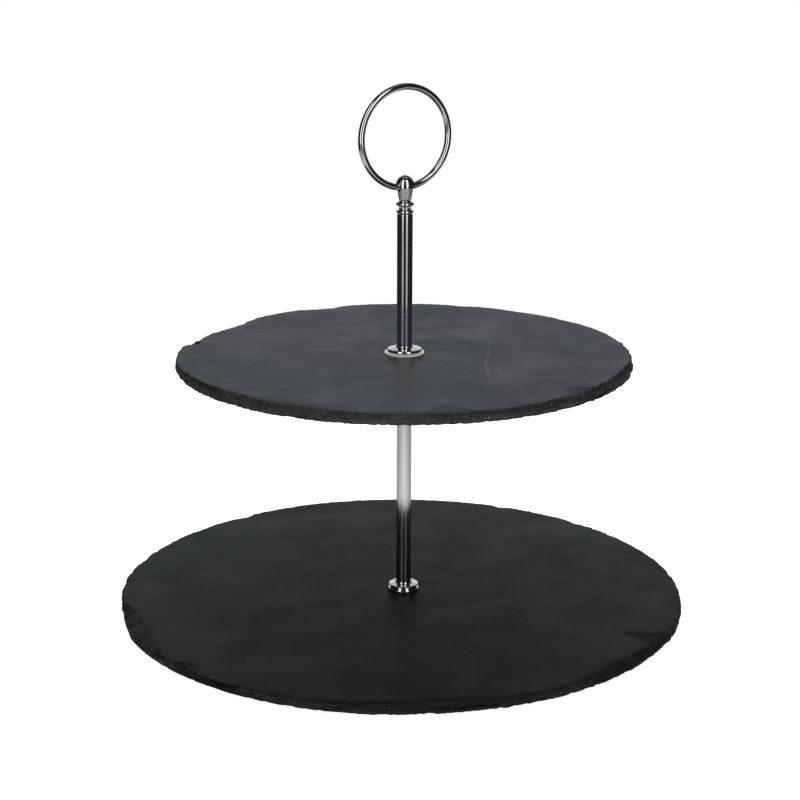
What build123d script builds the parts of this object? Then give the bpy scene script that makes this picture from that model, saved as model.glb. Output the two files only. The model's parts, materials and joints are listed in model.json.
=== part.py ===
from build123d import *
import math
import os
import random

# Two-tier slate cake stand, millimetres.
# Origin: on the rod axis, in the plane the feet stand on. +Z runs up the rod.
# The ring handle lies in the XZ plane and swings about the finial's cross hole (along X).

# ---------------------------------------------------------------- driving dimensions
SLATE_T = 5.0              # thickness of both slate plates
FOOT_H = 5.0               # height of the stick-on feet
LOWER_R = 150.0            # lower plate, outline radius
LOWER_OFF = (-0.5, 2.0)    # lower plate's outline centre from its drilled hole
UPPER_R = 118.6            # upper plate, outline radius
UPPER_OFF = (0.4, 0.9)
TIER = 130.8               # top face of the lower plate to top face of the upper plate
PLATE_HOLE_R = 3.0         # drilled hole in each plate
EDGE_STEP = 3.4            # widest facet round a chipped edge, degrees

FOOT_PCR = 112.0           # radius on which the feet sit
FOOT_R_TOP = 7.0
FOOT_R_BOTTOM = 5.8

ROD_R = 4.0                # outside radius of both rod tubes
ROD_BORE_R = 3.2
SLIP = 0.03                # radial gap of the glued or pressed plugs and sockets
THREAD_M5_R = 2.5
THREAD_M4_R = 2.0
THREAD_GAP = 0.05          # screw to its tapped hole, radially
INSERT_L = 14.0            # length of the tapped plugs in the tubes

PAD_T = 0.6                # thin fibre and rubber washers
CREAM_T = 1.0              # cream plastic washer on the upper plate
CREAM_R = 10.35
UPPER_FLANGE_R = 9.0
LOWER_FLANGE_R = 8.0

SCREW_HEAD_R = 4.75
SCREW_HEAD_H = 2.2
STEEL_WASHER_R = 9.0
STEEL_WASHER_T = 0.8

ROD_TOP_Z = 213.5          # seam between upper rod and finial
DOME_R = 4.7               # ball of the finial
DOME_Z = 229.1
PIVOT_Z = 227.8            # centre of the finial's cross hole
CROSS_R = 2.1
RING_R = 25.4              # ring handle, to the middle of the wire
WIRE_R = 1.7
RING_DROP = 0.22           # wire's middle lies this far below the hole's centre at x = 0

# ---------------------------------------------------------------- levels
Z_L0 = FOOT_H                         # lower plate, underside
Z_L1 = Z_L0 + SLATE_T                 # lower plate, top
Z_U1 = Z_L1 + TIER                    # upper plate, top
Z_U0 = Z_U1 - SLATE_T                 # upper plate, underside
Z_LC = Z_L1 + PAD_T                   # lower collar, seat
Z_SC = Z_U0 - PAD_T                   # support collar, top face
Z_UC = Z_U1 + CREAM_T                 # upper collar, seat
FLOOR = 0.6                           # thickness of a collar's floor under the tube

# The dressed edges, as (angle, top rim's setback, bottom rim's setback) in degrees and mm
# from the plate's outline circle, angles counted from +X about the plate's own centre.
LOWER_RIM = [
    (0, 1.4, 0.3), (13, 1.5, 0.3), (15, 3.2, 0.8), (18, 1.4, 0.3), (33, 1.2, 0.2), (35, 3.1, 0.9),
    (38, 1.3, 0.3), (60, 1.0, 0.2), (80, 1.1, 0.2), (96, 1.0, 0.2), (98, 3.0, 0.8), (101, 1.2, 0.2),
    (120, 1.0, 0.2), (140, 0.6, -0.2), (150, 0.6, -0.5), (154, 1.5, 0.6), (158.9, 3.0, 1.2),
    (163.6, 8.1, 1.5), (170.1, 9.0, 0.8), (174.2, 8.6, -0.5), (177.5, 7.6, -0.6), (183.3, 4.2, -0.6),
    (187.9, 0.2, -0.8), (191.5, 0.0, -1.2), (193.5, 3.6, -0.6), (196, -0.6, -1.5), (205, -0.7, -1.5),
    (215, -0.4, -1.4), (225, 0.2, -0.9), (234, 2.6, -0.2), (243, 5.0, 0.4), (251, 6.0, 0.5),
    (258, 2.5, 0.3), (265, 1.0, 0.2), (273.6, 0.8, 0.2), (278, 4.0, 0.5), (282, 4.2, 0.5),
    (286.8, 7.1, 0.9), (290.5, 4.4, 0.6), (296.5, 5.1, 0.8), (299.9, 5.2, 0.9), (303.7, 3.4, 0.6),
    (305.5, 1.0, 0.2), (315, 0.8, 0.2), (330, 0.8, 0.2), (345, 1.0, 0.2),
]
UPPER_RIM = [
    (0, 0.8, 0.2), (6, 0.9, 0.2), (11, 2.0, 0.4), (17, 1.6, 0.3), (23, 2.8, 0.6), (30, 2.6, 0.5),
    (36, 1.9, 0.4), (42, 3.6, 0.6), (50, 3.0, 0.4), (58, 3.4, 0.4), (66, 3.6, 0.5), (74, 4.0, 0.5),
    (78, 4.8, 0.6), (80.3, 7.8, 1.4), (85.7, 7.6, 1.4), (90.6, 3.9, 0.7), (97, 4.1, 0.6),
    (103.8, 4.4, 0.7), (105.8, 5.6, 1.0), (110, 8.2, 1.8), (114, 11.0, 2.6), (120.6, 9.3, 2.6),
    (124.2, 9.0, 2.6), (125.5, 13.0, 3.0), (127, 7.8, 2.2), (133.8, 8.5, 2.6), (138, 5.6, 2.0),
    (140, 11.0, 2.8), (142, 3.4, 1.2), (144, 1.8, 0.4), (155.5, 0.9, 0.2), (163, 1.0, 0.1),
    (176, 2.4, 0.1), (189, 4.0, 0.2), (196, 5.2, 0.3), (204, 4.2, 0.2), (214.5, 5.4, 0.4),
    (222, 4.2, 0.3), (227, 2.8, 0.2), (232, 4.0, 0.4), (238, 4.6, 0.5), (243, 5.0, 0.6),
    (248, 4.8, 0.6), (253, 4.2, 0.5), (258, 4.0, 0.4), (263, 3.4, 0.3), (268, 3.4, 0.3),
    (274, 3.8, 0.4), (282.5, 4.8, 0.5), (289, 5.2, 0.6), (295, 4.6, 0.6), (302, 5.2, 0.5),
    (309.5, 4.8, 0.4), (316, 3.5, 0.4), (324.5, 1.2, 0.2), (331, 0.7, 0.1), (346, 0.7, 0.1),
]

os.makedirs("parts", exist_ok=True)


def turned(*path):
    """Solid of revolution about Z. path: (r, z) points, or (r, z, r, z) for an arc
    through the first point to the second, closed back to the start."""
    edges, last = [], path[0]
    for p in list(path[1:]) + [path[0]]:
        if len(p) == 4:
            edges.append(ThreePointArc((last[0], 0, last[1]), (p[0], 0, p[1]), (p[2], 0, p[3])))
            last = (p[2], p[3])
        else:
            edges.append(Line((last[0], 0, last[1]), (p[0], 0, p[1])))
            last = p
    return revolve(make_face(edges), axis=Axis.Z, revolution_arc=360)


def washer(r_out, r_in, z0, z1, edge=0.12):
    return turned((r_in, z0), (r_out - edge, z0), (r_out, z0 + edge), (r_out, z1 - edge),
                  (r_out - edge, z1), (r_in, z1))


def tube(r_out, r_in, z0, z1):
    return turned((r_in, z0), (r_out, z0), (r_out, z1), (r_in, z1))


def rod_with_chamfers(r, z0, z1, c):
    return turned((0, z0), (r - c, z0), (r, z0 + c), (r, z1 - c), (r - c, z1), (0, z1))


def save(shape, name):
    shape = shape.solid() if not isinstance(shape, Solid) and len(shape.solids()) == 1 else shape
    shape.label = name
    export_step(shape, f"parts/{name}.step")


def chipped_plate(radius, centre, z0, rim, seed):
    """Round slate plate with a hand-dressed edge: the bottom rim is nearly full round,
    and the edge is knocked back upwards to an uneven top rim."""
    rnd = random.Random(seed)
    cx, cy = centre
    stations = []
    for (a0, t0, b0), (a1, t1, b1) in zip(rim, rim[1:] + [(rim[0][0] + 360, rim[0][1], rim[0][2])]):
        n = math.ceil((a1 - a0) / EDGE_STEP)
        for k in range(n):
            f = k / n
            stations.append((a0 + (a1 - a0) * f, t0 + (t1 - t0) * f + (0.35 * rnd.random() if k else 0.0),
                             b0 + (b1 - b0) * f + 0.12 * rnd.random()))
    bottom, waist, top = [], [], []
    for deg, back_top, back_bottom in stations:
        a = math.radians(deg)
        lift = (0.28 + 0.18 * rnd.random()) * SLATE_T
        for ring, r, z in ((bottom, radius - back_bottom - 0.35, z0),
                           (waist, radius - back_bottom, z0 + lift),
                           (top, radius - back_top, z0 + SLATE_T)):
            ring.append((cx + r * math.cos(a), cy + r * math.sin(a), z))
    faces = [Face(Wire.make_polygon(bottom, close=True)), Face(Wire.make_polygon(top, close=True))]
    for low, high in ((bottom, waist), (waist, top)):
        for i in range(len(low)):
            j = (i + 1) % len(low)
            if i % 2:
                tris = ((low[i], low[j], high[j]), (low[i], high[j], high[i]))
            else:
                tris = ((low[i], low[j], high[i]), (low[j], high[j], high[i]))
            faces += [Face(Wire.make_polygon(list(t), close=True)) for t in tris]
    slab = Solid(Shell(faces))
    hole = Pos(0, 0, z0 + SLATE_T / 2) * Cylinder(PLATE_HOLE_R, SLATE_T + 2)
    return slab - hole


# ---------------------------------------------------------------- slate plates
lower_plate = chipped_plate(LOWER_R, LOWER_OFF, Z_L0, LOWER_RIM, 11)
upper_plate = chipped_plate(UPPER_R, UPPER_OFF, Z_U0, UPPER_RIM, 23)
save(lower_plate, "lower_slate_plate")
save(upper_plate, "upper_slate_plate")

# ---------------------------------------------------------------- feet: rubber bumpers stuck under the lower plate
for name, deg in (("foot_back_right", 45), ("foot_back_left", 135),
                  ("foot_front_left", 225), ("foot_front_right", 315)):
    a = math.radians(deg)
    foot = turned((0, 0), (FOOT_R_BOTTOM - 0.6, 0), (FOOT_R_BOTTOM - 0.18, 0.18, FOOT_R_BOTTOM, 0.6),
                  (FOOT_R_TOP, Z_L0), (0, Z_L0))
    save(Pos(FOOT_PCR * math.cos(a), FOOT_PCR * math.sin(a), 0) * foot, name)

# ---------------------------------------------------------------- underside fixing
z_rubber = Z_L0 - PAD_T
z_steel = z_rubber - STEEL_WASHER_T
z_head = z_steel - SCREW_HEAD_H
screw_end = Z_LC + FLOOR + 12.0
base_screw = turned((0, z_head), (2.6, z_head), (4.0, z_head + 0.45, SCREW_HEAD_R, z_head + 1.5),
                    (SCREW_HEAD_R, z_steel), (THREAD_M5_R, z_steel), (THREAD_M5_R, screw_end - 0.6),
                    (THREAD_M5_R - 0.6, screw_end), (0, screw_end))
socket = Pos(0, 0, z_head) * extrude(RegularPolygon(1.73, 6), 1.5)   # 3 mm hex key, 1.5 mm deep
save(base_screw - socket, "base_screw")
save(washer(STEEL_WASHER_R, 2.7, z_steel, z_rubber), "base_steel_washer")
save(washer(STEEL_WASHER_R - 0.3, 2.7, z_rubber, Z_L0), "base_rubber_washer")

# ---------------------------------------------------------------- foot of the lower rod
save(washer(LOWER_FLANGE_R - 0.4, 2.8, Z_L1, Z_LC), "lower_plate_pad_washer")
z = Z_LC
lower_collar = turned(
    (2.8, z), (LOWER_FLANGE_R, z), (LOWER_FLANGE_R + 0.12, z + 0.4, LOWER_FLANGE_R, z + 0.8),
    (7.3, z + 1.15), (7.2, z + 1.6), (7.6, z + 2.1),
    (7.85, z + 2.45, 7.6, z + 2.85), (7.3, z + 2.98), (4.75, z + 3.3), (4.4, z + 3.5), (4.3, z + 3.9),
    (ROD_R + SLIP, z + 3.9), (ROD_R + SLIP, z + FLOOR), (2.8, z + FLOOR))
save(lower_collar, "lower_collar")

lower_rod_z0, lower_rod_z1 = Z_LC + FLOOR, Z_SC - FLOOR
save(tube(ROD_R, ROD_BORE_R, lower_rod_z0, lower_rod_z1), "lower_rod")
save(tube(ROD_BORE_R - SLIP, THREAD_M5_R + THREAD_GAP, lower_rod_z0, lower_rod_z0 + INSERT_L),
     "lower_rod_bottom_insert")
save(tube(ROD_BORE_R - SLIP, THREAD_M5_R + THREAD_GAP, lower_rod_z1 - INSERT_L, lower_rod_z1),
     "lower_rod_top_insert")

# ---------------------------------------------------------------- flange that carries the upper plate
z = Z_SC
support_collar = turned(
    (2.8, z), (UPPER_FLANGE_R - 0.15, z), (UPPER_FLANGE_R, z - 0.4, UPPER_FLANGE_R - 0.25, z - 0.8),
    (5.6, z - 1.7), (4.55, z - 2.3), (4.25, z - 3.1),
    (ROD_R + SLIP, z - 3.1), (ROD_R + SLIP, z - FLOOR), (2.8, z - FLOOR))
save(support_collar, "upper_support_collar")
save(washer(UPPER_FLANGE_R - 0.4, 2.8, Z_SC, Z_U0), "upper_support_pad")

# ---------------------------------------------------------------- above the upper plate
save(washer(CREAM_R, 2.8, Z_U1, Z_UC, 0.25), "upper_plate_pad_washer")
z = Z_UC
upper_collar = turned(
    (2.8, z), (UPPER_FLANGE_R - 0.25, z), (UPPER_FLANGE_R, z + 0.65, UPPER_FLANGE_R - 0.15, z + 1.3),
    (8.75, z + 1.58, 8.45, z + 1.75), (8.1, z + 1.85), (4.8, z + 2.5), (4.42, z + 2.75), (4.3, z + 3.2),
    (ROD_R + SLIP, z + 3.2), (ROD_R + SLIP, z + FLOOR), (2.8, z + FLOOR))
save(upper_collar, "upper_collar")

upper_rod_z0 = Z_UC + FLOOR
save(tube(ROD_R, ROD_BORE_R, upper_rod_z0, ROD_TOP_Z), "upper_rod")
save(tube(ROD_BORE_R - SLIP, THREAD_M5_R + THREAD_GAP, upper_rod_z0, upper_rod_z0 + INSERT_L),
     "upper_rod_bottom_insert")
save(tube(ROD_BORE_R - SLIP, THREAD_M4_R + THREAD_GAP, ROD_TOP_Z - INSERT_L, ROD_TOP_Z),
     "upper_rod_top_insert")
save(rod_with_chamfers(THREAD_M5_R, lower_rod_z1 - 12.0, upper_rod_z0 + 12.0, 0.5), "joining_stud")

# ---------------------------------------------------------------- finial: turned knob with a cross hole for the ring
finial = turned(
    (0, ROD_TOP_Z), (ROD_R, ROD_TOP_Z), (3.95, 213.9), (3.6, 214.15),
    (4.4, 215.15, 3.4, 216.2), (3.05, 216.7), (3.0, 217.2), (3.2, 218.05),
    (4.58, 219.15, 3.3, 220.2), (2.95, 220.7), (3.28, 221.7), (3.52, 223.2), (3.82, 225.3), (4.08, 227.3),
    (4.5, 227.42), (DOME_R, 227.7), (DOME_R, DOME_Z),
    (DOME_R * math.cos(math.pi / 4), DOME_Z + DOME_R * math.sin(math.pi / 4), 0, DOME_Z + DOME_R))
stud_hole = Pos(0, 0, ROD_TOP_Z + 4.25) * Cylinder(THREAD_M4_R + THREAD_GAP, 8.5 + 0.02)
cross_hole = Pos(0, 0, PIVOT_Z) * Rot(0, 90, 0) * Cylinder(CROSS_R, 14)
finial = Rot(0, 0, 90) * finial - stud_hole - cross_hole   # the turned body's seam faces away from the hole
save(finial, "finial")
save(rod_with_chamfers(THREAD_M4_R, ROD_TOP_Z - 10.0, ROD_TOP_Z + 8.0, 0.4), "finial_stud")

# ---------------------------------------------------------------- ring handle: welded wire ring through the finial
ring_centre_z = PIVOT_Z - RING_DROP + RING_R
ring = Pos(0, 0, ring_centre_z) * Rot(90, 0, 0) * Torus(RING_R, WIRE_R)
save(ring, "ring_handle")

print("levels", dict(Z_L1=Z_L1, Z_U0=Z_U0, Z_U1=Z_U1, Z_LC=Z_LC, Z_SC=Z_SC, Z_UC=Z_UC),
      "ring centre", ring_centre_z, "top", ring_centre_z + RING_R + WIRE_R)
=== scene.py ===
import bpy, bmesh, json, math
import numpy as np
from mathutils import Matrix, Vector


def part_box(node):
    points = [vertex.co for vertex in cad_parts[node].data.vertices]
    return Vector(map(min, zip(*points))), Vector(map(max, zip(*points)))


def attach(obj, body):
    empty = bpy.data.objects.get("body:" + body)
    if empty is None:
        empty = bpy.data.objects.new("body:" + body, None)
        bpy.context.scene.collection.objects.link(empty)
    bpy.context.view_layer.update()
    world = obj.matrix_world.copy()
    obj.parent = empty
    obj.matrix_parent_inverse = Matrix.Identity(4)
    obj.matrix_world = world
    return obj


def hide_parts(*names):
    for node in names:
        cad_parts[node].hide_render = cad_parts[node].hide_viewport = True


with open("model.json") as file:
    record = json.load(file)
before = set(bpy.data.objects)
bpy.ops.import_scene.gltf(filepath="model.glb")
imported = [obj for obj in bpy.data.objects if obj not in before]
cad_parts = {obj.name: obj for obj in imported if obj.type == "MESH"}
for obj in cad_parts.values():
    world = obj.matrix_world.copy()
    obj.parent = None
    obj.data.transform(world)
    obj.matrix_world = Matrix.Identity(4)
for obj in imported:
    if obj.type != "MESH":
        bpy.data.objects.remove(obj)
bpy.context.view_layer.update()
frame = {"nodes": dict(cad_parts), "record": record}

scene = bpy.context.scene
MM = 0.001

# ============================================================ helpers
def new_object(name, verts, faces, smooth=True, sharp_deg=35.0):
    """A mesh object at the origin, with edges sharper than sharp_deg left hard."""
    me = bpy.data.meshes.new(name)
    me.from_pydata([tuple(v) for v in verts], [], faces)
    me.validate(); me.update()
    ob = bpy.data.objects.new(name, me)
    scene.collection.objects.link(ob)
    if smooth:
        me.polygons.foreach_set("use_smooth", [True] * len(me.polygons))
        if sharp_deg:
            mark_sharp(me, sharp_deg)
    return ob

def mark_sharp(me, deg):
    bm = bmesh.new(); bm.from_mesh(me)
    lim = math.radians(deg)
    for e in bm.edges:
        e.smooth = len(e.link_faces) == 2 and e.calc_face_angle(0.0) < lim
    bm.to_mesh(me); bm.free(); me.update()

def centre(node):
    lo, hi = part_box(node)
    return (np.array(lo) + np.array(hi)) / 2

# ------------------------------------------------------------ seeded value noise
def _hash(ix, iy, seed):
    h = (ix.astype(np.int64) * 374761393 + iy.astype(np.int64) * 668265263 + seed * 1442695041) & 0xFFFFFFFF
    h = ((h ^ (h >> 13)) * 1274126177) & 0xFFFFFFFF
    h = (h ^ (h >> 16)) & 0xFFFFFFFF
    return h / 4294967295.0

def noise2(x, y, seed):
    """Smooth value noise in -1..1 on a unit lattice."""
    x0, y0 = np.floor(x), np.floor(y)
    fx, fy = x - x0, y - y0
    fx, fy = fx * fx * fx * (fx * (fx * 6 - 15) + 10), fy * fy * fy * (fy * (fy * 6 - 15) + 10)
    a, b = _hash(x0, y0, seed), _hash(x0 + 1, y0, seed)
    c, d = _hash(x0, y0 + 1, seed), _hash(x0 + 1, y0 + 1, seed)
    return ((a * (1 - fx) + b * fx) * (1 - fy) + (c * (1 - fx) + d * fx) * fy) * 2 - 1

def fbm2(x, y, seed, octaves=4, gain=0.5):
    out, amp, tot = 0.0, 1.0, 0.0
    for k in range(octaves):
        out = out + amp * noise2(x * 2 ** k + 17.3 * k, y * 2 ** k - 9.1 * k, seed + 31 * k)
        tot += amp; amp *= gain
    return out / tot

def ring_noise(deg, wavelength_deg, seed, row=0.0):
    """Noise round a circle that closes on itself."""
    a = np.radians(deg)
    k = 57.2958 / wavelength_deg
    return fbm2(np.cos(a) * k + 50, np.sin(a) * k + 50 + row * 3.7, seed, 3)

def smooth01(t):
    t = np.clip(t, 0, 1)
    return t * t * (3 - 2 * t)

# ============================================================ slate plates
def rim_profile(deg, rim, radius):
    """Top and bottom rim setbacks at each angle from (angle, top setback, bottom setback) rows."""
    t = np.array(rim, dtype=float)
    ang = np.concatenate((t[-1:, 0] - 360, t[:, 0], t[:1, 0] + 360))
    top = np.interp(deg, ang, np.concatenate((t[-1:, 1], t[:, 1], t[:1, 1])))
    bottom = np.interp(deg, ang, np.concatenate((t[-1:, 2], t[:, 2], t[:1, 2])))
    return top, bottom

def flakes_round(deg, shortest, longest, size, rng, tilt=0.6):
    """Knapped facets round an edge: runs of uneven length, each a straight flat that breaks off at its end."""
    cuts = [0.0]
    while cuts[-1] < 360.0:
        cuts.append(cuts[-1] + shortest + (longest - shortest) * rng.random() ** 2)
    cuts[-1] = 360.0
    cuts = np.array(cuts)
    k = np.clip(np.searchsorted(cuts, deg, side="right") - 1, 0, len(cuts) - 2)
    base = rng.random(len(cuts)) ** 1.6
    lean = (rng.random(len(cuts)) - 0.5) * tilt
    f = (deg - cuts[k]) / np.maximum(cuts[k + 1] - cuts[k], 1e-6)
    return size * np.clip(base[k] + lean[k] * (f - 0.5) * 2, 0, 1.2)

def slate_plate(name, node, radius, off, rim, bowls, planes, seed, n_out, hole_r=3.0, beds=7):
    """Riven slate disc in mm: flat-bedded top with thin ledges, an edge broken away in layers,
    and a plainer underside. bowls are places where the top bed has flaked off near the rim:
    (angle, half width, inner radius, depth). planes are big single-blow facets, left smooth:
    (angle, half width)."""
    rng = np.random.default_rng(seed)
    lo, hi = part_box(node)
    z0, z1 = lo[2] / MM, hi[2] / MM
    deg = np.arange(n_out) * 360.0 / n_out
    top, bottom = rim_profile(deg, rim, radius)
    clean = np.zeros(n_out)
    for ang, half in planes:
        clean = np.maximum(clean, smooth01((half - np.abs((deg - ang + 180.0) % 360.0 - 180.0)) / 2.5))
    nibble = flakes_round(deg, 0.7, 4.2, 0.85, rng) + flakes_round(deg, 0.5, 1.6, 0.3, rng)
    top = top + (nibble - 0.45) * (1 - 0.8 * clean)
    scallop = flakes_round(deg, 0.6, 2.6, 0.75, rng) + flakes_round(deg, 0.4, 0.9, 0.22, rng)
    bottom = np.minimum(bottom + (scallop - 0.25) * (1 - 0.9 * clean), top - 0.1)
    wide = smooth01((top - bottom - 2.0) / 4.0)
    ca, sa = np.cos(np.radians(deg)), np.sin(np.radians(deg))
    ox, oy = off
    r_rim = radius - top

    verts, edge_flag, shadow_depth_flag, faces = [], [], [], []
    def add_ring(px, py, pz, flag, bed=0.0):
        start = len(verts)
        verts.extend(zip(px.tolist(), py.tolist(), pz.tolist()))
        edge_flag.extend(np.broadcast_to(flag, px.shape).tolist())
        shadow_depth_flag.extend(np.broadcast_to(bed, px.shape).tolist())
        return np.arange(start, start + len(px))
    def bridge(outer, inner):
        """outer and inner index rings; outer has as many points as inner, or twice as many."""
        n, m = len(outer), len(inner)
        if n == m:
            for i in range(n):
                j = (i + 1) % n
                faces.append((outer[i], outer[j], inner[j], inner[i]))
        else:
            for i in range(m):
                j = (i + 1) % m
                o0, o1, o2 = outer[2 * i], outer[2 * i + 1], outer[(2 * i + 2) % n]
                faces.append((o0, o1, inner[i]))
                faces.append((o1, inner[j], inner[i]))
                faces.append((o1, o2, inner[j]))

    def relief(x, y, under=False):
        s = seed + (500 if under else 0)
        broad_wave = 0.05 * fbm2(x / 62, y / 48, s + 1, 2)
        f = fbm2(x / 52 + 0.35 * noise2(x / 25, y / 25, s + 9), y / 44, s + 2, 3)
        steps = np.floor(f * 2.2) + smooth01((f * 2.2 - np.floor(f * 2.2)) * 3.5)
        ledges = 0.035 * steps
        grain = 0.016 * fbm2(x / 5.0, y / 4.4, s + 3, 3)
        return broad_wave + ledges + grain

    def flaked(d, r):
        """How deep the top bed is gone at angle d (degrees) and radius r about the plate's middle:
        wedges that open from a point inside the rim, with soft side walls."""
        z = np.zeros_like(d + r)
        for ang, half, r_in, depth in bowls:
            a = np.radians(d - ang)
            wobble = 1.0 * noise2(d * 1.3, r * 0.12 + ang, seed + 7)
            along = r * np.cos(a) - r_in
            across = np.abs(r * np.sin(a)) + 0.6 * wobble
            open_at = along * (radius * math.tan(math.radians(half)) / (radius - r_in))
            inside = np.clip(open_at - across, 0, None)
            fall = depth * (0.12 + 0.88 * np.clip(along / (radius - r_in), 0, 1.2))
            z = z + np.where(along > 0, np.minimum(fall, 0.13 * inside), 0.0)
        return z

    def inside_flake(d, r):
        return np.clip(flaked(d, r) / 0.22, 0, 1)

    # ---- top face, from the rim inwards
    inner_limit = radius - 14.0
    previous = None
    top_rim = None
    for t in np.linspace(0, 1, 13) ** 1.25:
        r = r_rim + (inner_limit - r_rim) * t
        x, y = ox + r * ca, oy + r * sa
        from_rim = r_rim - r
        z = z1 + relief(x, y) - 0.16 * np.exp(-from_rim / 0.5) - 0.05 * np.exp(-from_rim / 2.5) - flaked(deg, r)
        # on narrow edges the rim band gets a bed value near 0, which carries the painted shadow line onto the top
        # face's rim; flaked hollows get 0.6 to stay free of it
        ring = add_ring(x, y, z, np.maximum(smooth01(1 - from_rim / 0.9) * 0.5 * (1 - 0.7 * wide), 0.38 * inside_flake(deg, r)), np.maximum(0.5 * wide, 0.6 * inside_flake(deg, r)))
        if previous is not None:
            bridge(previous, ring)
        else:
            top_rim = ring
        previous = ring
    r, n = inner_limit, n_out
    step = 2.6
    while r > hole_r + 0.01:
        r = max(r - step, hole_r)
        if hole_r < r < 9.0 and r - hole_r < 1.0:
            r = hole_r
        if n % 2 == 0 and n > 60 and (r / radius) < 0.8 * n / n_out:
            n //= 2
        d = np.arange(n) * 2 * math.pi / n
        k = smooth01(np.array((r - 14) / (radius - 14) * 1.2)) if r > 14 else 0.0
        x, y = ox * k + r * np.cos(d), oy * k + r * np.sin(d)
        z = z1 + relief(x, y) * smooth01(np.array((r - 11) / 12.0)) - flaked(np.degrees(d), np.full(n, r))
        shell = inside_flake(np.degrees(d), np.full(n, r))
        ring = add_ring(x, y, z, 0.38 * shell, 0.6 * shell)
        bridge(previous, ring)
        previous = ring
        step = 2.6 if r > 40 else 1.5
    hole_top = previous

    # ---- broken edge, in beds from the top rim down
    rim_z = np.array([verts[i][2] for i in top_rim])
    foot = 0.16 + 0.22 * (ring_noise(deg, 12, seed + 40) + 1) / 2 + flakes_round(deg, 1.0, 6.0, 0.16, rng)
    curve = 0.80 + 0.35 * ring_noise(deg, 14, seed + 41)
    stepped = np.clip(0.40 + 0.7 * ring_noise(deg, 8, seed + 42), 0.0, 1.0) * (1 - clean)
    foot = foot * (1 - 0.5 * clean)
    curve = curve * (1 - clean) + 0.95 * clean
    previous = top_rim
    last_r = r_rim.copy()
    bed_z = [1.0]
    for j in range(1, beds):
        bed_z.append(1 - (j + 0.25 * (rng.random() - 0.5)) / beds)
    bed_z.append(0.0)
    drift = [0.0 * deg] + [0.22 * ring_noise(deg, 17, seed + 100 + j, j) + flakes_round(deg, 1.5, 9.0, 0.25, rng) - 0.12 for j in range(1, beds)] + [0.0 * deg]
    z_prev = rim_z
    for j in range(1, beds + 1):
        g = lambda h: np.clip((h - foot) / (1 - foot), 0, 1) ** curve
        r_here = radius - (bottom + (top - bottom) * g(bed_z[j]))
        r_above = radius - (bottom + (top - bottom) * g(bed_z[j - 1]))
        bite = flakes_round(deg, 0.6, 3.2, 0.8, rng) + flakes_round(deg, 0.5, 1.2, 0.25, rng) - 0.35
        bite = bite * (0.25 if j == beds else 1.0) * (0.55 + 0.6 * wide) * (1 - 0.9 * clean)
        ledge_r = r_above + (r_here - r_above) * (0.25 + 0.65 * stepped) - bite
        ledge_r = np.clip(ledge_r, last_r - 0.35, radius + 0.2)
        zt = z_prev - 0.02
        zb = z0 + (z1 - z0) * bed_z[j] + drift[j] * (1 - clean)
        zb = np.minimum(zb, zt - 0.16)
        if j == beds:
            zb = z0 + 0.03 + flakes_round(deg, 0.5, 2.2, 0.35, rng)
            zb = np.minimum(zb, zt - 0.1)
        out = (r_here - r_above) * (1 - stepped) * 0.5
        lip = ((ledge_r - 0.04, zt - 0.04), (np.maximum(ledge_r + out, last_r), zb + 0.04)) if j < beds else \
              ((ledge_r - 0.04, zt - 0.04), (ledge_r + 0.12, zt - 0.45 * (zt - zb)), (ledge_r - 0.10, zb + 0.02))
        for k, (rr, zz) in enumerate(lip):
            down = min(1.0, (j - 1 + (k + 0.5) / len(lip)) / beds)
            flag = (1.0 - 0.85 * clean) * (1 - 0.62 * wide * (1 - smooth01(np.array((down - 0.45) / 0.35))))
            # the bed value is the fraction of the way down the edge and places the painted shadow along its top; wide
            # and clean facets are raised to at least 0.5 to keep it off them
            ring = add_ring(ox + rr * ca, oy + rr * sa, zz, flag, np.maximum(down, 0.5 * np.maximum(wide, clean)))
            bridge(ring, previous)
            previous = ring
        last_r = np.maximum(ledge_r + out, last_r) if j < beds else ledge_r
        z_prev = zb
    # ---- underside
    last = np.array([verts[i] for i in previous])
    r_bottom = np.hypot(last[:, 0] - ox, last[:, 1] - oy)
    lift = last[:, 2] - z0
    for inset in (0.5, 1.4, 3.2, 6.0):
        r = r_bottom - inset
        x, y = ox + r * ca, oy + r * sa
        z = z0 + 0.05 + 0.05 * relief(x, y, True) + lift * max(0.0, 0.7 - inset * 0.5)
        ring = add_ring(x, y, z, max(0.0, 0.8 - inset / 3), 1.0)
        bridge(ring, previous); previous = ring
    r, n = radius - 14.0, n_out
    while r > hole_r + 0.01:
        if n % 2 == 0 and n > 60 and (r / radius) < 1.2 * n / n_out:
            n //= 2
        d = np.arange(n) * 2 * math.pi / n
        k = smooth01(np.array((r - 14) / (radius - 14) * 1.2)) if r > 14 else 0.0
        x, y = ox * k + r * np.cos(d), oy * k + r * np.sin(d)
        ring = add_ring(x, y, z0 + (0.03 + 0.05 * relief(x, y, True)) * smooth01(np.array((r - 11) / 12.0)), 0.0)
        m, q = len(previous), len(ring)
        if m == q:
            bridge(ring, previous)
        else:
            for i in range(q):
                jn = (i + 1) % q
                o0, o1, o2 = previous[2 * i], previous[2 * i + 1], previous[(2 * i + 2) % m]
                faces.append((o1, o0, ring[i])); faces.append((ring[jn], o1, ring[i])); faces.append((o2, o1, ring[jn]))
        previous = ring
        r -= 3.6
        if r < hole_r + 1.5:
            r = hole_r
            d = np.arange(n) * 2 * math.pi / n
            ring = add_ring(r * np.cos(d), r * np.sin(d), np.full(n, z0 + 0.0), 0.3)
            bridge(ring, previous); previous = ring
            break
    hole_bottom = previous
    n = len(hole_top)
    if len(hole_bottom) != n:
        raise RuntimeError("hole rings differ: %d %d" % (n, len(hole_bottom)))
    for i in range(n):
        jn = (i + 1) % n
        faces.append((hole_top[i], hole_top[jn], hole_bottom[jn], hole_bottom[i]))
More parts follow.
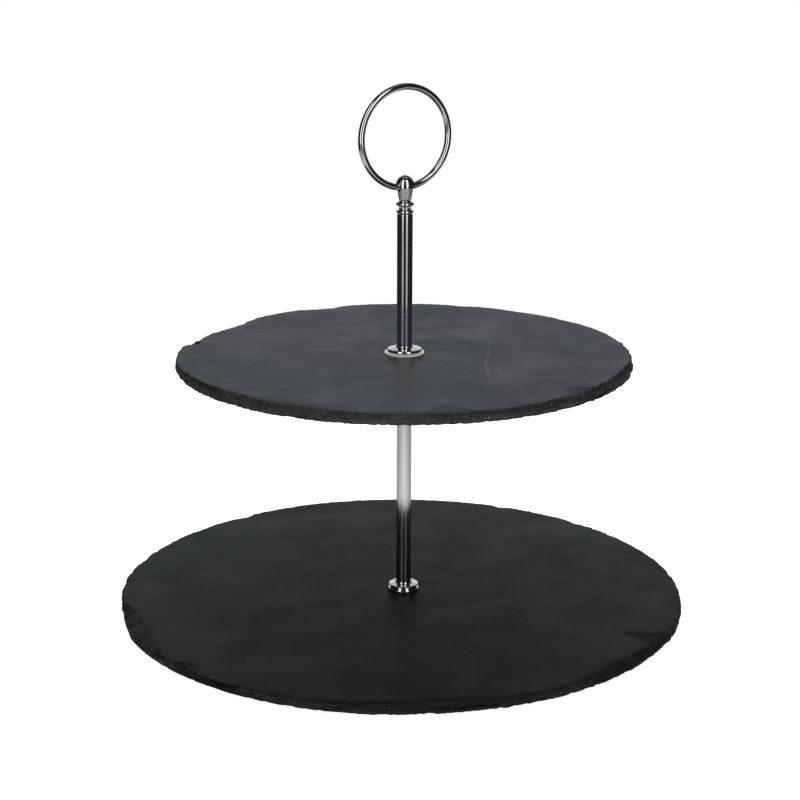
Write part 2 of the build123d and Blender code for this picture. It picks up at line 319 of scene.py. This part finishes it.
    ob = new_object(name, np.array(verts) * MM, [tuple(int(v) for v in f) for f in faces], True, 0)
    bm = bmesh.new(); bm.from_mesh(ob.data)
    bmesh.ops.recalc_face_normals(bm, faces=bm.faces)
    bm.to_mesh(ob.data); bm.free()
    at = ob.data.attributes.new("edge", "FLOAT", "POINT")
    at.data.foreach_set("value", np.array(edge_flag, dtype=np.float32))
    at = ob.data.attributes.new("bed", "FLOAT", "POINT")
    at.data.foreach_set("value", np.array(shadow_depth_flag, dtype=np.float32))
    mark_sharp(ob.data, 38)
    return ob

LOWER_RIM = [
    (0, 1.4, 0.3), (13, 1.5, 0.3), (15, 3.2, 0.8), (18, 1.4, 0.3), (33, 1.2, 0.2), (35, 3.1, 0.9),
    (38, 1.3, 0.3), (60, 1.0, 0.2), (80, 1.1, 0.2), (96, 1.0, 0.2), (98, 3.0, 0.8), (101, 1.2, 0.2),
    (120, 1.0, 0.2), (140, 0.6, -0.2), (150, 0.6, -0.5), (154, 1.5, 0.6), (158.9, 3.0, 1.2),
    (163.6, 8.1, 1.5), (170.1, 9.0, 0.8), (174.2, 8.6, -0.5), (177.5, 7.6, -0.6), (183.3, 4.2, -0.6),
    (187.9, 0.2, -0.8), (191.5, 0.0, -1.2), (193.5, 3.6, -0.6), (196, -0.6, -1.5), (205, -0.7, -1.5),
    (215, -0.4, -1.4), (225, 0.2, -0.9), (234, 2.6, -0.2), (243, 5.0, 0.4), (251, 6.0, 0.5),
    (258, 2.5, 0.3), (265, 1.0, 0.2), (273.6, 0.8, 0.2), (278, 4.0, 0.5), (282, 4.2, 0.5),
    (286.8, 7.1, 0.9), (290.5, 4.4, 0.6), (296.5, 5.1, 0.8), (299.9, 5.2, 0.9), (303.7, 3.4, 0.6),
    (305.5, 1.0, 0.2), (315, 0.8, 0.2), (330, 0.8, 0.2), (345, 1.0, 0.2),
]
UPPER_RIM = [
    (0, 0.8, 0.2), (6, 0.9, 0.2), (11, 2.0, 0.4), (17, 1.6, 0.3), (23, 2.8, 0.6), (30, 2.6, 0.5),
    (36, 1.9, 0.4), (42, 3.6, 0.6), (50, 3.0, 0.4), (58, 3.4, 0.4), (66, 3.6, 0.5), (74, 4.0, 0.5),
    (78, 4.8, 0.6), (80.3, 7.8, 1.4), (85.7, 7.6, 1.4), (90.6, 3.9, 0.7), (97, 4.1, 0.6),
    (103.8, 4.4, 0.7), (105.8, 5.6, 1.0), (110, 8.2, 1.8), (114, 11.0, 2.6), (120.6, 9.3, 2.6),
    (124.2, 9.0, 2.6), (125.5, 13.0, 3.0), (127, 7.8, 2.2), (133.8, 8.5, 2.6), (138, 5.6, 2.0),
    (140, 11.0, 2.8), (142, 3.4, 1.2), (144, 1.8, 0.4), (155.5, 0.9, 0.2), (163, 1.0, 0.1),
    (176, 2.4, 0.1), (189, 4.0, 0.2), (196, 5.2, 0.3), (204, 4.2, 0.2), (214.5, 5.4, 0.4),
    (222, 4.2, 0.3), (227, 2.8, 0.2), (232, 4.0, 0.4), (238, 4.6, 0.5), (243, 5.0, 0.6),
    (248, 4.8, 0.6), (253, 4.2, 0.5), (258, 4.0, 0.4), (263, 3.4, 0.3), (268, 3.4, 0.3),
    (274, 3.8, 0.4), (282.5, 4.8, 0.5), (289, 5.2, 0.6), (295, 4.6, 0.6), (302, 5.2, 0.5),
    (309.5, 4.8, 0.4), (316, 3.5, 0.4), (324.5, 1.2, 0.2), (331, 0.7, 0.1), (346, 0.7, 0.1),
]
lower = slate_plate("lower_slate", "lower_slate_plate", 150.0, (-0.5, 2.0), LOWER_RIM,
                    [(300.5, 5.2, 126.5, 1.0), (284, 5, 139.0, 0.5), (247, 6, 141.0, 0.5), (196, 4, 141.0, 0.6)], [(173.0, 11.5)], 4, 1152)
upper = slate_plate("upper_slate", "upper_slate_plate", 118.6, (0.4, 0.9), UPPER_RIM,
                    [(250, 9, 101.0, 0.45), (288, 8, 103.0, 0.5), (120, 9, 103.0, 0.5)], [], 9, 1024)
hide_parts("lower_slate_plate"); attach(lower, "stand")
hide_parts("upper_slate_plate"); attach(upper, "stand")
print("faces", len(lower.data.polygons), len(upper.data.polygons))

# ============================================================ turned and bent metal
def lathe(name, profile, segs=96, close=True):
    """Profile of (r, z) in mm, turned about Z. close joins the last point to the first."""
    ang = np.arange(segs) * 2 * math.pi / segs
    verts, rows, faces = [], [], []
    for r, z in profile:
        if r < 1e-6:
            rows.append([len(verts)]); verts.append((0, 0, z * MM))
        else:
            rows.append(list(range(len(verts), len(verts) + segs)))
            verts += [(r * MM * math.cos(a), r * MM * math.sin(a), z * MM) for a in ang]
    pairs = list(zip(rows[:-1], rows[1:])) + ([(rows[-1], rows[0])] if close else [])
    for a, b in pairs:
        if len(a) == 1 and len(b) == 1:
            continue
        for i in range(segs):
            j = (i + 1) % segs
            if len(a) == 1:
                faces.append((a[0], b[j], b[i]))
            elif len(b) == 1:
                faces.append((a[i], a[j], b[0]))
            else:
                faces.append((a[i], a[j], b[j], b[i]))
    ob = new_object(name, verts, faces, True, 0)
    bm = bmesh.new(); bm.from_mesh(ob.data)
    bmesh.ops.recalc_face_normals(bm, faces=bm.faces)
    bm.to_mesh(ob.data); bm.free()
    mark_sharp(ob.data, 40)
    return ob

def arc(cx, cz, r, a0, a1, n):
    return [(cx + r * math.cos(math.radians(a0 + (a1 - a0) * i / n)), cz + r * math.sin(math.radians(a0 + (a1 - a0) * i / n))) for i in range(n + 1)]

def curve_through(points, per=6):
    """Catmull-Rom through (r, z) points."""
    p = [points[0]] + list(points) + [points[-1]]
    out = []
    for i in range(1, len(p) - 2):
        for k in range(per):
            t = k / per
            out.append(tuple(0.5 * ((2 * p[i][c]) + (-p[i - 1][c] + p[i + 1][c]) * t +
                                    (2 * p[i - 1][c] - 5 * p[i][c] + 4 * p[i + 1][c] - p[i + 2][c]) * t * t +
                                    (-p[i - 1][c] + 3 * p[i][c] - 3 * p[i + 1][c] + p[i + 2][c]) * t ** 3) for c in (0, 1)))
    out.append(points[-1])
    return out

# the rest of the pieces keep their CAD shape for now

# ============================================================ materials
def mat(name):
    m = bpy.data.materials.new(name)
    m.use_nodes = True
    nt = m.node_tree
    nt.nodes.clear()
    out = nt.nodes.new("ShaderNodeOutputMaterial")
    bsdf = nt.nodes.new("ShaderNodeBsdfPrincipled")
    nt.links.new(bsdf.outputs["BSDF"], out.inputs["Surface"])
    return m, nt, bsdf

class N:
    """Short hand for node trees."""
    def __init__(self, nt):
        self.nt = nt
    def node(self, kind, **props):
        n = self.nt.nodes.new(kind)
        for k, v in props.items():
            setattr(n, k, v)
        return n
    def link(self, a, b):
        self.nt.links.new(a, b)
    def coord(self):
        return self.node("ShaderNodeTexCoord").outputs["Object"]
    def mapping(self, vec, scale=(1, 1, 1), rot=(0, 0, 0), loc=(0, 0, 0)):
        n = self.node("ShaderNodeMapping")
        n.inputs["Scale"].default_value = scale
        n.inputs["Rotation"].default_value = rot
        n.inputs["Location"].default_value = loc
        self.link(vec, n.inputs["Vector"])
        return n.outputs["Vector"]
    def noise(self, vec, scale, detail=4.0, rough=0.55, distort=0.0, kind="FBM"):
        n = self.node("ShaderNodeTexNoise")
        n.inputs["Scale"].default_value = scale
        n.inputs["Detail"].default_value = detail
        n.inputs["Roughness"].default_value = rough
        n.inputs["Distortion"].default_value = distort
        self.link(vec, n.inputs["Vector"])
        return n.outputs["Fac"]
    def ramp(self, fac, stops, interp="LINEAR"):
        n = self.node("ShaderNodeValToRGB")
        n.color_ramp.interpolation = interp
        el = n.color_ramp.elements
        while len(el) > 1:
            el.remove(el[-1])
        for i, (p, c) in enumerate(stops):
            e = el[0] if i == 0 else el.new(p)
            e.position = p
            e.color = (*c, 1) if len(c) == 3 else c
        self.link(fac, n.inputs["Fac"])
        return n.outputs["Color"]
    def range(self, fac, a, b, c, d, clamp=True):
        n = self.node("ShaderNodeMapRange", clamp=clamp)
        for k, v in zip(("From Min", "From Max", "To Min", "To Max"), (a, b, c, d)):
            n.inputs[k].default_value = v
        self.link(fac, n.inputs["Value"])
        return n.outputs["Result"]
    def math(self, op, a, b=None, c=None, clamp=False):
        n = self.node("ShaderNodeMath", operation=op, use_clamp=clamp)
        for i, v in enumerate((a, b, c)):
            if v is None:
                continue
            if isinstance(v, (int, float)):
                n.inputs[i].default_value = v
            else:
                self.link(v, n.inputs[i])
        return n.outputs["Value"]
    def mix(self, fac, a, b, blend="MIX"):
        n = self.node("ShaderNodeMix", data_type="RGBA", blend_type=blend)
        for key, v in ((0, fac), (6, a), (7, b)):
            if isinstance(v, (int, float)):
                n.inputs[key].default_value = v
            elif isinstance(v, tuple):
                n.inputs[key].default_value = (*v, 1) if len(v) == 3 else v
            else:
                self.link(v, n.inputs[key])
        return n.outputs[2]
    def bump(self, height, strength, distance, normal=None):
        n = self.node("ShaderNodeBump")
        n.inputs["Strength"].default_value = strength
        n.inputs["Distance"].default_value = distance
        self.link(height, n.inputs["Height"])
        if normal is not None:
            self.link(normal, n.inputs["Normal"])
        return n.outputs["Normal"]
    def segment(self, vec, a, b, width):
        """1 on the line a-b (mm, in the plate's plane), falling to 0 at width mm from it."""
        ax, ay = a[0] * MM, a[1] * MM
        dx, dy = (b[0] - a[0]) * MM, (b[1] - a[1]) * MM
        L2 = dx * dx + dy * dy
        s = self.node("ShaderNodeSeparateXYZ"); self.link(vec, s.inputs[0])
        px = self.math("SUBTRACT", s.outputs[0], ax); py = self.math("SUBTRACT", s.outputs[1], ay)
        t = self.math("ADD", self.math("MULTIPLY", px, dx / L2), self.math("MULTIPLY", py, dy / L2), clamp=True)
        ex = self.math("SUBTRACT", px, self.math("MULTIPLY", t, dx)); ey = self.math("SUBTRACT", py, self.math("MULTIPLY", t, dy))
        d = self.math("SQRT", self.math("ADD", self.math("MULTIPLY", ex, ex), self.math("MULTIPLY", ey, ey)))
        return self.range(d, 0.0, width * MM, 1.0, 0.0)

def slate_material(name, tone, marks, seed, shine=(0.36, 0.50), level=0.5, edge_gain=1.0):
    """Riven slate: soft clouds, fine mineral grain, stray scratches and chalky scuffs; browner, layered edge."""
    m, nt, bsdf = mat(name)
    g = N(nt)
    raw = g.coord()
    co = g.mapping(raw, loc=(seed * 0.37, seed * 0.11, 0))
    flat = g.mapping(co, scale=(1.0, 1.15, 3.0), rot=(0, 0, 0.5))
    cloud = g.noise(flat, 17, 5, 0.55, 0.8)
    tint = g.noise(flat, 9, 3, 0.5, 0.4)
    smudge = g.noise(flat, 34, 4, 0.6, 1.2)
    grain = g.noise(g.mapping(co, scale=(1, 1.2, 2)), 520, 4, 0.62)
    fleck = g.noise(co, 1500, 2, 0.5)
    base = g.ramp(cloud, [(0.30, tuple(0.80 * c for c in tone)), (0.5, tone), (0.70, tuple(1.22 * c for c in tone))])
    base = g.mix(g.range(tint, 0.40, 0.60, 0.0, 0.6), base, (tone[0] * 0.88, tone[1] * 1.08, tone[2] * 0.97))
    base = g.mix(g.range(smudge, 0.56, 0.70, 0.0, 0.30), base, tuple(1.5 * c for c in tone))
    base = g.mix(g.range(grain, 0.40, 0.72, 0.0, 0.30), base, tuple(1.6 * c for c in tone))
    base = g.mix(g.range(fleck, 0.68, 0.78, 0.0, 0.25), base, (0.14, 0.14, 0.135))
    # broken edge: darker, browner beds in thin stripes, with pale crushed specks
    edge = g.node("ShaderNodeAttribute", attribute_name="edge").outputs["Fac"]
    beds = g.noise(g.mapping(co, scale=(1, 1, 12)), 75, 5, 0.7, 0.5)
    edge_col = g.ramp(beds, [(p, tuple(edge_gain * c for c in col)) for p, col in (
        (0.32, (0.012, 0.0122, 0.012)), (0.48, (0.027, 0.0268, 0.0255)), (0.64, (0.056, 0.055, 0.050)), (0.80, (0.100, 0.098, 0.088)))])
    crushed = g.math("MULTIPLY", g.range(g.noise(co, 750, 3, 0.6), 0.57, 0.67, 0.0, 1.0), g.range(g.noise(co, 120, 3, 0.6), 0.44, 0.62, 0.0, 0.75))
    edge_col = g.mix(crushed, edge_col, tuple(edge_gain * c for c in (0.24, 0.238, 0.22)))
    # painted shadow: over the top of the broken edge, and the rim band of the top face, the colour is mixed to near
    # black, fading out a fifth to a third of the way down; the lower beds keep their own colours
    depth = g.node("ShaderNodeAttribute", attribute_name="bed").outputs["Fac"]
    depth = g.math("ADD", depth, g.range(g.noise(g.mapping(co, scale=(1, 1, 0.3)), 45, 3, 0.6), 0.3, 0.7, -0.16, 0.16))
    edge_col = g.mix(g.range(depth, 0.20, 0.34, 0.78, 0.0), edge_col, (0.007, 0.007, 0.0072))
    base = g.mix(g.math("MULTIPLY", edge, 0.9), base, edge_col)
    # chalky scuffs
    broken = g.range(g.noise(co, 800, 3, 0.6), 0.44, 0.60, 0.0, 1.0)
    patchy = g.range(g.noise(co, 230, 3, 0.6), 0.40, 0.58, 0.0, 1.0)
    total = None
    for a, b, width, strength in marks:
        k = g.math("MULTIPLY", g.segment(raw, a, b, width), strength)
        total = k if total is None else g.math("MAXIMUM", total, k)
    total = g.math("MULTIPLY", total, g.math("MULTIPLY", broken, patchy))
    scratch = g.noise(g.mapping(co, scale=(1, 22, 1), rot=(0, 0, 0.9)), 60, 2, 0.5)
    faint = g.math("MULTIPLY", g.range(scratch, 0.74, 0.80, 0.0, 0.16), g.range(g.noise(co, 24, 2, 0.5), 0.54, 0.66, 0.0, 1.0))
    total = g.math("MAXIMUM", total, faint, clamp=True)
    base = g.mix(total, base, (0.30, 0.30, 0.295))
    g.link(base, bsdf.inputs["Base Color"])
    rough = g.range(g.noise(flat, 30, 5, 0.6, 0.6), 0.3, 0.7, shine[0], shine[1])
    rough = g.math("ADD", rough, g.math("MULTIPLY", edge, 0.22))
    g.link(g.math("ADD", rough, g.math("MULTIPLY", total, 0.25), clamp=True), bsdf.inputs["Roughness"])
    h1 = g.noise(g.mapping(co, scale=(1, 1.2, 2)), 150, 4, 0.6)
    n1 = g.bump(h1, 0.12, 0.0003)
    n2 = g.bump(grain, 0.15, 0.00015, n1)
    rough_edge = g.math("MULTIPLY", edge, g.noise(co, 420, 4, 0.65))
    n3 = g.bump(rough_edge, 0.6, 0.0005, n2)
    g.link(n3, bsdf.inputs["Normal"])
    bsdf.inputs["IOR"].default_value = 1.5
    bsdf.inputs["Specular IOR Level"].default_value = level
    return m

def chrome_material(name="chrome", tone=(0.62, 0.625, 0.635), rough=(0.07, 0.13), drawn_scale=(1, 1, 0.03), satin=None):
    """Bright plating over drawn steel: faint lines along the metal, a thin film of handling marks.
    satin gives the heights (mm) between which the turning was left unpolished."""
    m, nt, bsdf = mat(name)
    g = N(nt)
    co = g.coord()
    drawn = g.noise(g.mapping(co, scale=drawn_scale), 700, 2, 0.5)
    film = g.noise(co, 60, 4, 0.6, 0.4)
    specks = g.noise(co, 650, 3, 0.6)
    base = g.ramp(film, [(0.3, tuple(0.93 * c for c in tone)), (0.6, tone), (0.8, tuple(1.04 * c for c in tone))])
    base = g.mix(g.range(specks, 0.66, 0.76, 0.0, 0.35), base, tuple(0.55 * c for c in tone))
    g.link(base, bsdf.inputs["Base Color"])
    bsdf.inputs["Metallic"].default_value = 1.0
    r = g.range(film, 0.35, 0.75, rough[0], rough[1])
    r = g.math("ADD", r, g.range(drawn, 0.4, 0.75, 0.0, 0.03))
    if satin:
        s = g.node("ShaderNodeSeparateXYZ"); g.link(co, s.inputs[0])
        up = g.range(s.outputs[2], (satin[0] - 0.15) * MM, (satin[0] + 0.15) * MM, 0.0, 1.0)
        down = g.range(s.outputs[2], (satin[1] - 0.15) * MM, (satin[1] + 0.15) * MM, 1.0, 0.0)
        r = g.math("ADD", r, g.math("MULTIPLY", g.math("MULTIPLY", up, down), 0.26))
    g.link(r, bsdf.inputs["Roughness"])
    wave = g.noise(g.mapping(co, scale=(1, 1, 0.25)), 40, 2, 0.4)
    g.link(g.bump(wave, 0.10, 0.0003), bsdf.inputs["Normal"])
    return m

def plastic_material(name, tone, rough=0.42, speck=0.3):
    m, nt, bsdf = mat(name)
    g = N(nt)
    co = g.coord()
    a = g.noise(co, 260, 4, 0.6)
    b = g.noise(co, 1800, 3, 0.6)
    base = g.ramp(a, [(0.3, tuple(0.88 * c for c in tone)), (0.7, tone)])
    base = g.mix(g.range(b, 0.55, 0.8, 0.0, speck), base, tuple(0.7 * c for c in tone))
    g.link(base, bsdf.inputs["Base Color"])
    g.link(g.range(a, 0.3, 0.7, rough - 0.06, rough + 0.12), bsdf.inputs["Roughness"])
    g.link(g.bump(b, 0.15, 0.00008), bsdf.inputs["Normal"])
    return m

def steel_material():
    m, nt, bsdf = mat("zinc_steel")
    g = N(nt)
    co = g.coord()
    a = g.noise(g.mapping(co, scale=(1, 1, 4)), 500, 4, 0.65)
    b = g.noise(co, 120, 3, 0.6)
    base = g.ramp(b, [(0.3, (0.40, 0.41, 0.43)), (0.55, (0.52, 0.53, 0.54)), (0.75, (0.60, 0.59, 0.56))])
    g.link(base, bsdf.inputs["Base Color"])
    bsdf.inputs["Metallic"].default_value = 1.0
    g.link(g.range(a, 0.3, 0.7, 0.28, 0.46), bsdf.inputs["Roughness"])
    g.link(g.bump(a, 0.2, 0.00005), bsdf.inputs["Normal"])
    return m

UPPER_MARKS = [((57.5, 17.9), (52, -1.5), 0.8, 0.35), ((54.2, 1.5), (34.5, -26.9), 0.8, 0.8), ((34.5, -26.9), (25.3, -38.3), 0.9, 0.9),
               ((25.3, -38.3), (12.0, -62.5), 0.7, 0.8), ((17.9, -62.5), (23.5, -65.8), 0.9, 1.0), ((16.0, -82.2), (8.4, -103.0), 1.0, 0.6),
               ((48.0, 61.7), (54.3, 62.3), 0.8, 0.8), ((-41.3, -66.0), (-40.0, -68.0), 0.8, 0.8), ((-34.1, -76.4), (-33.0, -78.6), 0.9, 0.8),
               ((-33.8, 62.7), (-30.0, 60.7), 0.8, 0.6), ((-85.9, 54.7), (-84.0, 53.0), 0.8, 0.7), ((-27.5, -104.4), (-18.5, -108.5), 1.2, 0.8),
               ((-36.7, -58.2), (-33.0, -59.5), 0.7, 0.6)]
LOWER_MARKS = [((-112.1, -38.6), (-119.0, -52.8), 0.8, 0.4), ((-46.5, -96.4), (-45.0, -97.6), 0.9, 0.7), ((45.5, -90.3), (54.5, -92.5), 0.8, 0.4),
               ((78.9, -45.1), (80.2, -46.2), 0.9, 0.6), ((-138.4, -53.9), (-137.2, -54.8), 1.0, 1.0)]
# painted shade: the lower slate is a darker copy of the upper slate, with a darker tone and edge colours at 0.40
# against 0.85, standing for the shade the upper plate throws on it
lower.data.materials.append(slate_material("slate_lower_painted_shade", (0.0146, 0.0154, 0.0172), LOWER_MARKS, 1, (0.38, 0.52), 0.10, 0.40))
upper.data.materials.append(slate_material("slate_upper", (0.0268, 0.0278, 0.0328), UPPER_MARKS, 2, (0.36, 0.50), 0.5, 0.85))

chrome = chrome_material()
ring_chrome = chrome_material("chrome_wire", drawn_scale=(0.3, 0.3, 0.3))
finial_chrome = chrome_material("chrome_turned", drawn_scale=(1, 1, 0.3), satin=(221.4, 227.35))
cream = plastic_material("cream_plastic", (0.88, 0.87, 0.81), 0.45, 0.12)
rubber = plastic_material("black_rubber", (0.022, 0.022, 0.023), 0.62, 0.5)
steel = steel_material()
BY_SLOT = {"chrome": chrome, "cream_plastic": cream, "black_rubber": rubber, "zinc_steel": steel}
slots = {s["node"]: s["material_slot"] for s in frame["record"]["subparts"]}
for node, ob in frame["nodes"].items():
    m = BY_SLOT.get(slots[node])
    if m is None:
        continue
    if node == "ring_handle":
        m = ring_chrome
    if node == "finial":
        m = finial_chrome
    if not ob.material_slots:
        ob.data.materials.append(m)
    for s in ob.material_slots:
        s.material = m

# ============================================================ floor, light and camera
PHI = 0.5325                       # ring's plane to the camera's right, in plan
def from_camera_plan(x, y, z):
    """A point given across, away and up, as seen from the camera's side, into the row frame (m)."""
    return Vector((x * math.cos(PHI) + y * math.sin(PHI), -x * math.sin(PHI) + y * math.cos(PHI), z))

def table_material(name, glow, tone=0.80, pool=None):
    m, nt, bsdf = mat(name)
    g = N(nt)
    paper = g.noise(g.coord(), 300, 3, 0.5)
    if pool:
        cx, cy, wide, gain = pool
        s = g.node("ShaderNodeSeparateXYZ"); g.link(g.coord(), s.inputs[0])
        dx = g.math("MULTIPLY", g.math("SUBTRACT", s.outputs[0], cx), 1 / wide)
        dy = g.math("MULTIPLY", g.math("SUBTRACT", s.outputs[1], cy), 1 / wide)
        r2 = g.math("ADD", g.math("MULTIPLY", dx, dx), g.math("MULTIPLY", dy, dy))
        lump = g.math("EXPONENT", g.math("MULTIPLY", r2, -0.5))
        g.link(g.math("ADD", g.math("MULTIPLY", lump, gain), glow), bsdf.inputs["Emission Strength"])
    g.link(g.ramp(paper, [(0.3, (tone - 0.015,) * 3), (0.7, (tone + 0.015,) * 3)]), bsdf.inputs["Base Color"])
    bsdf.inputs["Roughness"].default_value = 0.9
    bsdf.inputs["Specular IOR Level"].default_value = 0.0
    bsdf.inputs["Emission Color"].default_value = (1, 1, 1, 1)
    if not pool:
        bsdf.inputs["Emission Strength"].default_value = glow
    return m

def disc(name, radius, z, material):
    bm = bmesh.new()
    bmesh.ops.create_circle(bm, cap_ends=True, segments=192, radius=radius)
    me = bpy.data.meshes.new(name); bm.to_mesh(me); bm.free()
    ob = bpy.data.objects.new(name, me); scene.collection.objects.link(ob)
    ob.location = (0, 0, z)
    me.materials.append(material)
    return ob

table = disc("table_top", 0.60, -0.0002, table_material("pale_table", 0.93))
table.visible_glossy = False
pool_at = from_camera_plan(0, -0.20, 0)
under = disc("table_reflected", 0.60, -0.0004, table_material("grey_table", 0.22, 0.25, (pool_at.x, pool_at.y, 0.16, 0.60)))
under.visible_camera = False; under.visible_diffuse = False; under.visible_shadow = False

def area(name, pos, target, size, radiance, color=(1, 1, 1)):
    d = bpy.data.lights.new(name, "AREA")
    d.shape = "RECTANGLE"; d.size, d.size_y = size
    d.energy = radiance * math.pi * size[0] * size[1]; d.color = color
    o = bpy.data.objects.new(name, d); scene.collection.objects.link(o)
    p, t = Vector(pos), Vector(target)
    o.location = p
    o.rotation_euler = (t - p).to_track_quat("-Z", "Y").to_euler()
    o.visible_camera = False
    return o

def around(az, el, dist, z0=0.12):
    """A point az degrees to the right of the camera's side and el degrees up, dist metres from the stand."""
    a, e = math.radians(az), math.radians(el)
    return from_camera_plan(dist * math.cos(e) * math.sin(a), -dist * math.cos(e) * math.cos(a), z0 + dist * math.sin(e))

CENTRE = from_camera_plan(0, 0, 0.12)
COOL = (0.93, 0.975, 1.0)
area("back_low", around(180, 7, 2.2), CENTRE, (3.4, 0.86), 0.70, COOL)
area("back_high", around(180, 28, 2.2), CENTRE, (3.0, 0.70), 0.10, COOL)
area("overhead", around(180, 78, 1.6), CENTRE, (1.2, 1.0), 0.16)
cards = []
for side in (-1, 1):
    tag = "left" if side < 0 else "right"
    area("front_%s_low" % tag, around(30 * side, -12, 1.5), CENTRE, (0.60, 1.0), 0.52 if side < 0 else 0.60)
    area("front_%s_high" % tag, around(30 * side, 26.5, 1.5), CENTRE, (0.56, 1.98), 1.9)
    card = area("back_card_%s" % tag, around(180 - 16 * side, 26, 2.2), CENTRE, (0.86, 1.0), 0.58, COOL)
    cards.append(card)
# white cards behind the stand that only the plated pieces mirror
polished = bpy.data.collections.new("polished")
for node, ob in frame["nodes"].items():
    if slots[node] == "chrome":
        polished.objects.link(ob)
for card in cards:
    card.light_linking.receiver_collection = polished
# wide, soft fill that only the dull surfaces answer to
fill = area("sky_fill", around(180, 55, 1.8), CENTRE, (2.0, 1.6), 3.0, (0.97, 0.985, 1.0))
fill.visible_glossy = False

world = bpy.data.worlds.new("studio"); scene.world = world
world.use_nodes = True
wt = world.node_tree; wt.nodes.clear()
g = N(wt)
out = g.node("ShaderNodeOutputWorld")
seen = g.node("ShaderNodeBackground"); seen.inputs["Color"].default_value = (1, 1, 1, 1); seen.inputs["Strength"].default_value = 1.0
lit = g.node("ShaderNodeBackground"); lit.inputs["Color"].default_value = (0.97, 0.98, 1.0, 1); lit.inputs["Strength"].default_value = 0.022
mixer = g.node("ShaderNodeMixShader")
g.link(g.node("ShaderNodeLightPath").outputs["Is Camera Ray"], mixer.inputs[0])
g.link(lit.outputs[0], mixer.inputs[1]); g.link(seen.outputs[0], mixer.inputs[2])
g.link(mixer.outputs[0], out.inputs["Surface"])

cam = bpy.data.cameras.new("camera")
cam_ob = bpy.data.objects.new("camera", cam); scene.collection.objects.link(cam_ob)
F_PX, DIST, HIGH, PITCH, SIDE, ROLL = 1900.0, 957.8, 374.1, 0.2735, -2.2, math.radians(0.20)
cam.sensor_width = 36.0
cam.lens = F_PX / 800.0 * 36.0
cam.clip_start, cam.clip_end = 0.05, 50
right = from_camera_plan(1, 0, 0)
ahead = from_camera_plan(0, math.cos(PITCH), -math.sin(PITCH))
up = right.cross(ahead)
rot = Matrix((right, up, -ahead)).transposed()
rot = rot @ Matrix.Rotation(ROLL, 3, "Z")
lower_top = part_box("lower_slate_plate")[1][2]
cam_ob.matrix_world = Matrix.Translation(from_camera_plan(SIDE * MM, -DIST * MM, lower_top + HIGH * MM)) @ rot.to_4x4()
scene.camera = cam_ob
scene.view_settings.view_transform = "Standard"
scene.view_settings.look = "None"
scene.view_settings.exposure = 0.0
scene.view_settings.gamma = 1.0
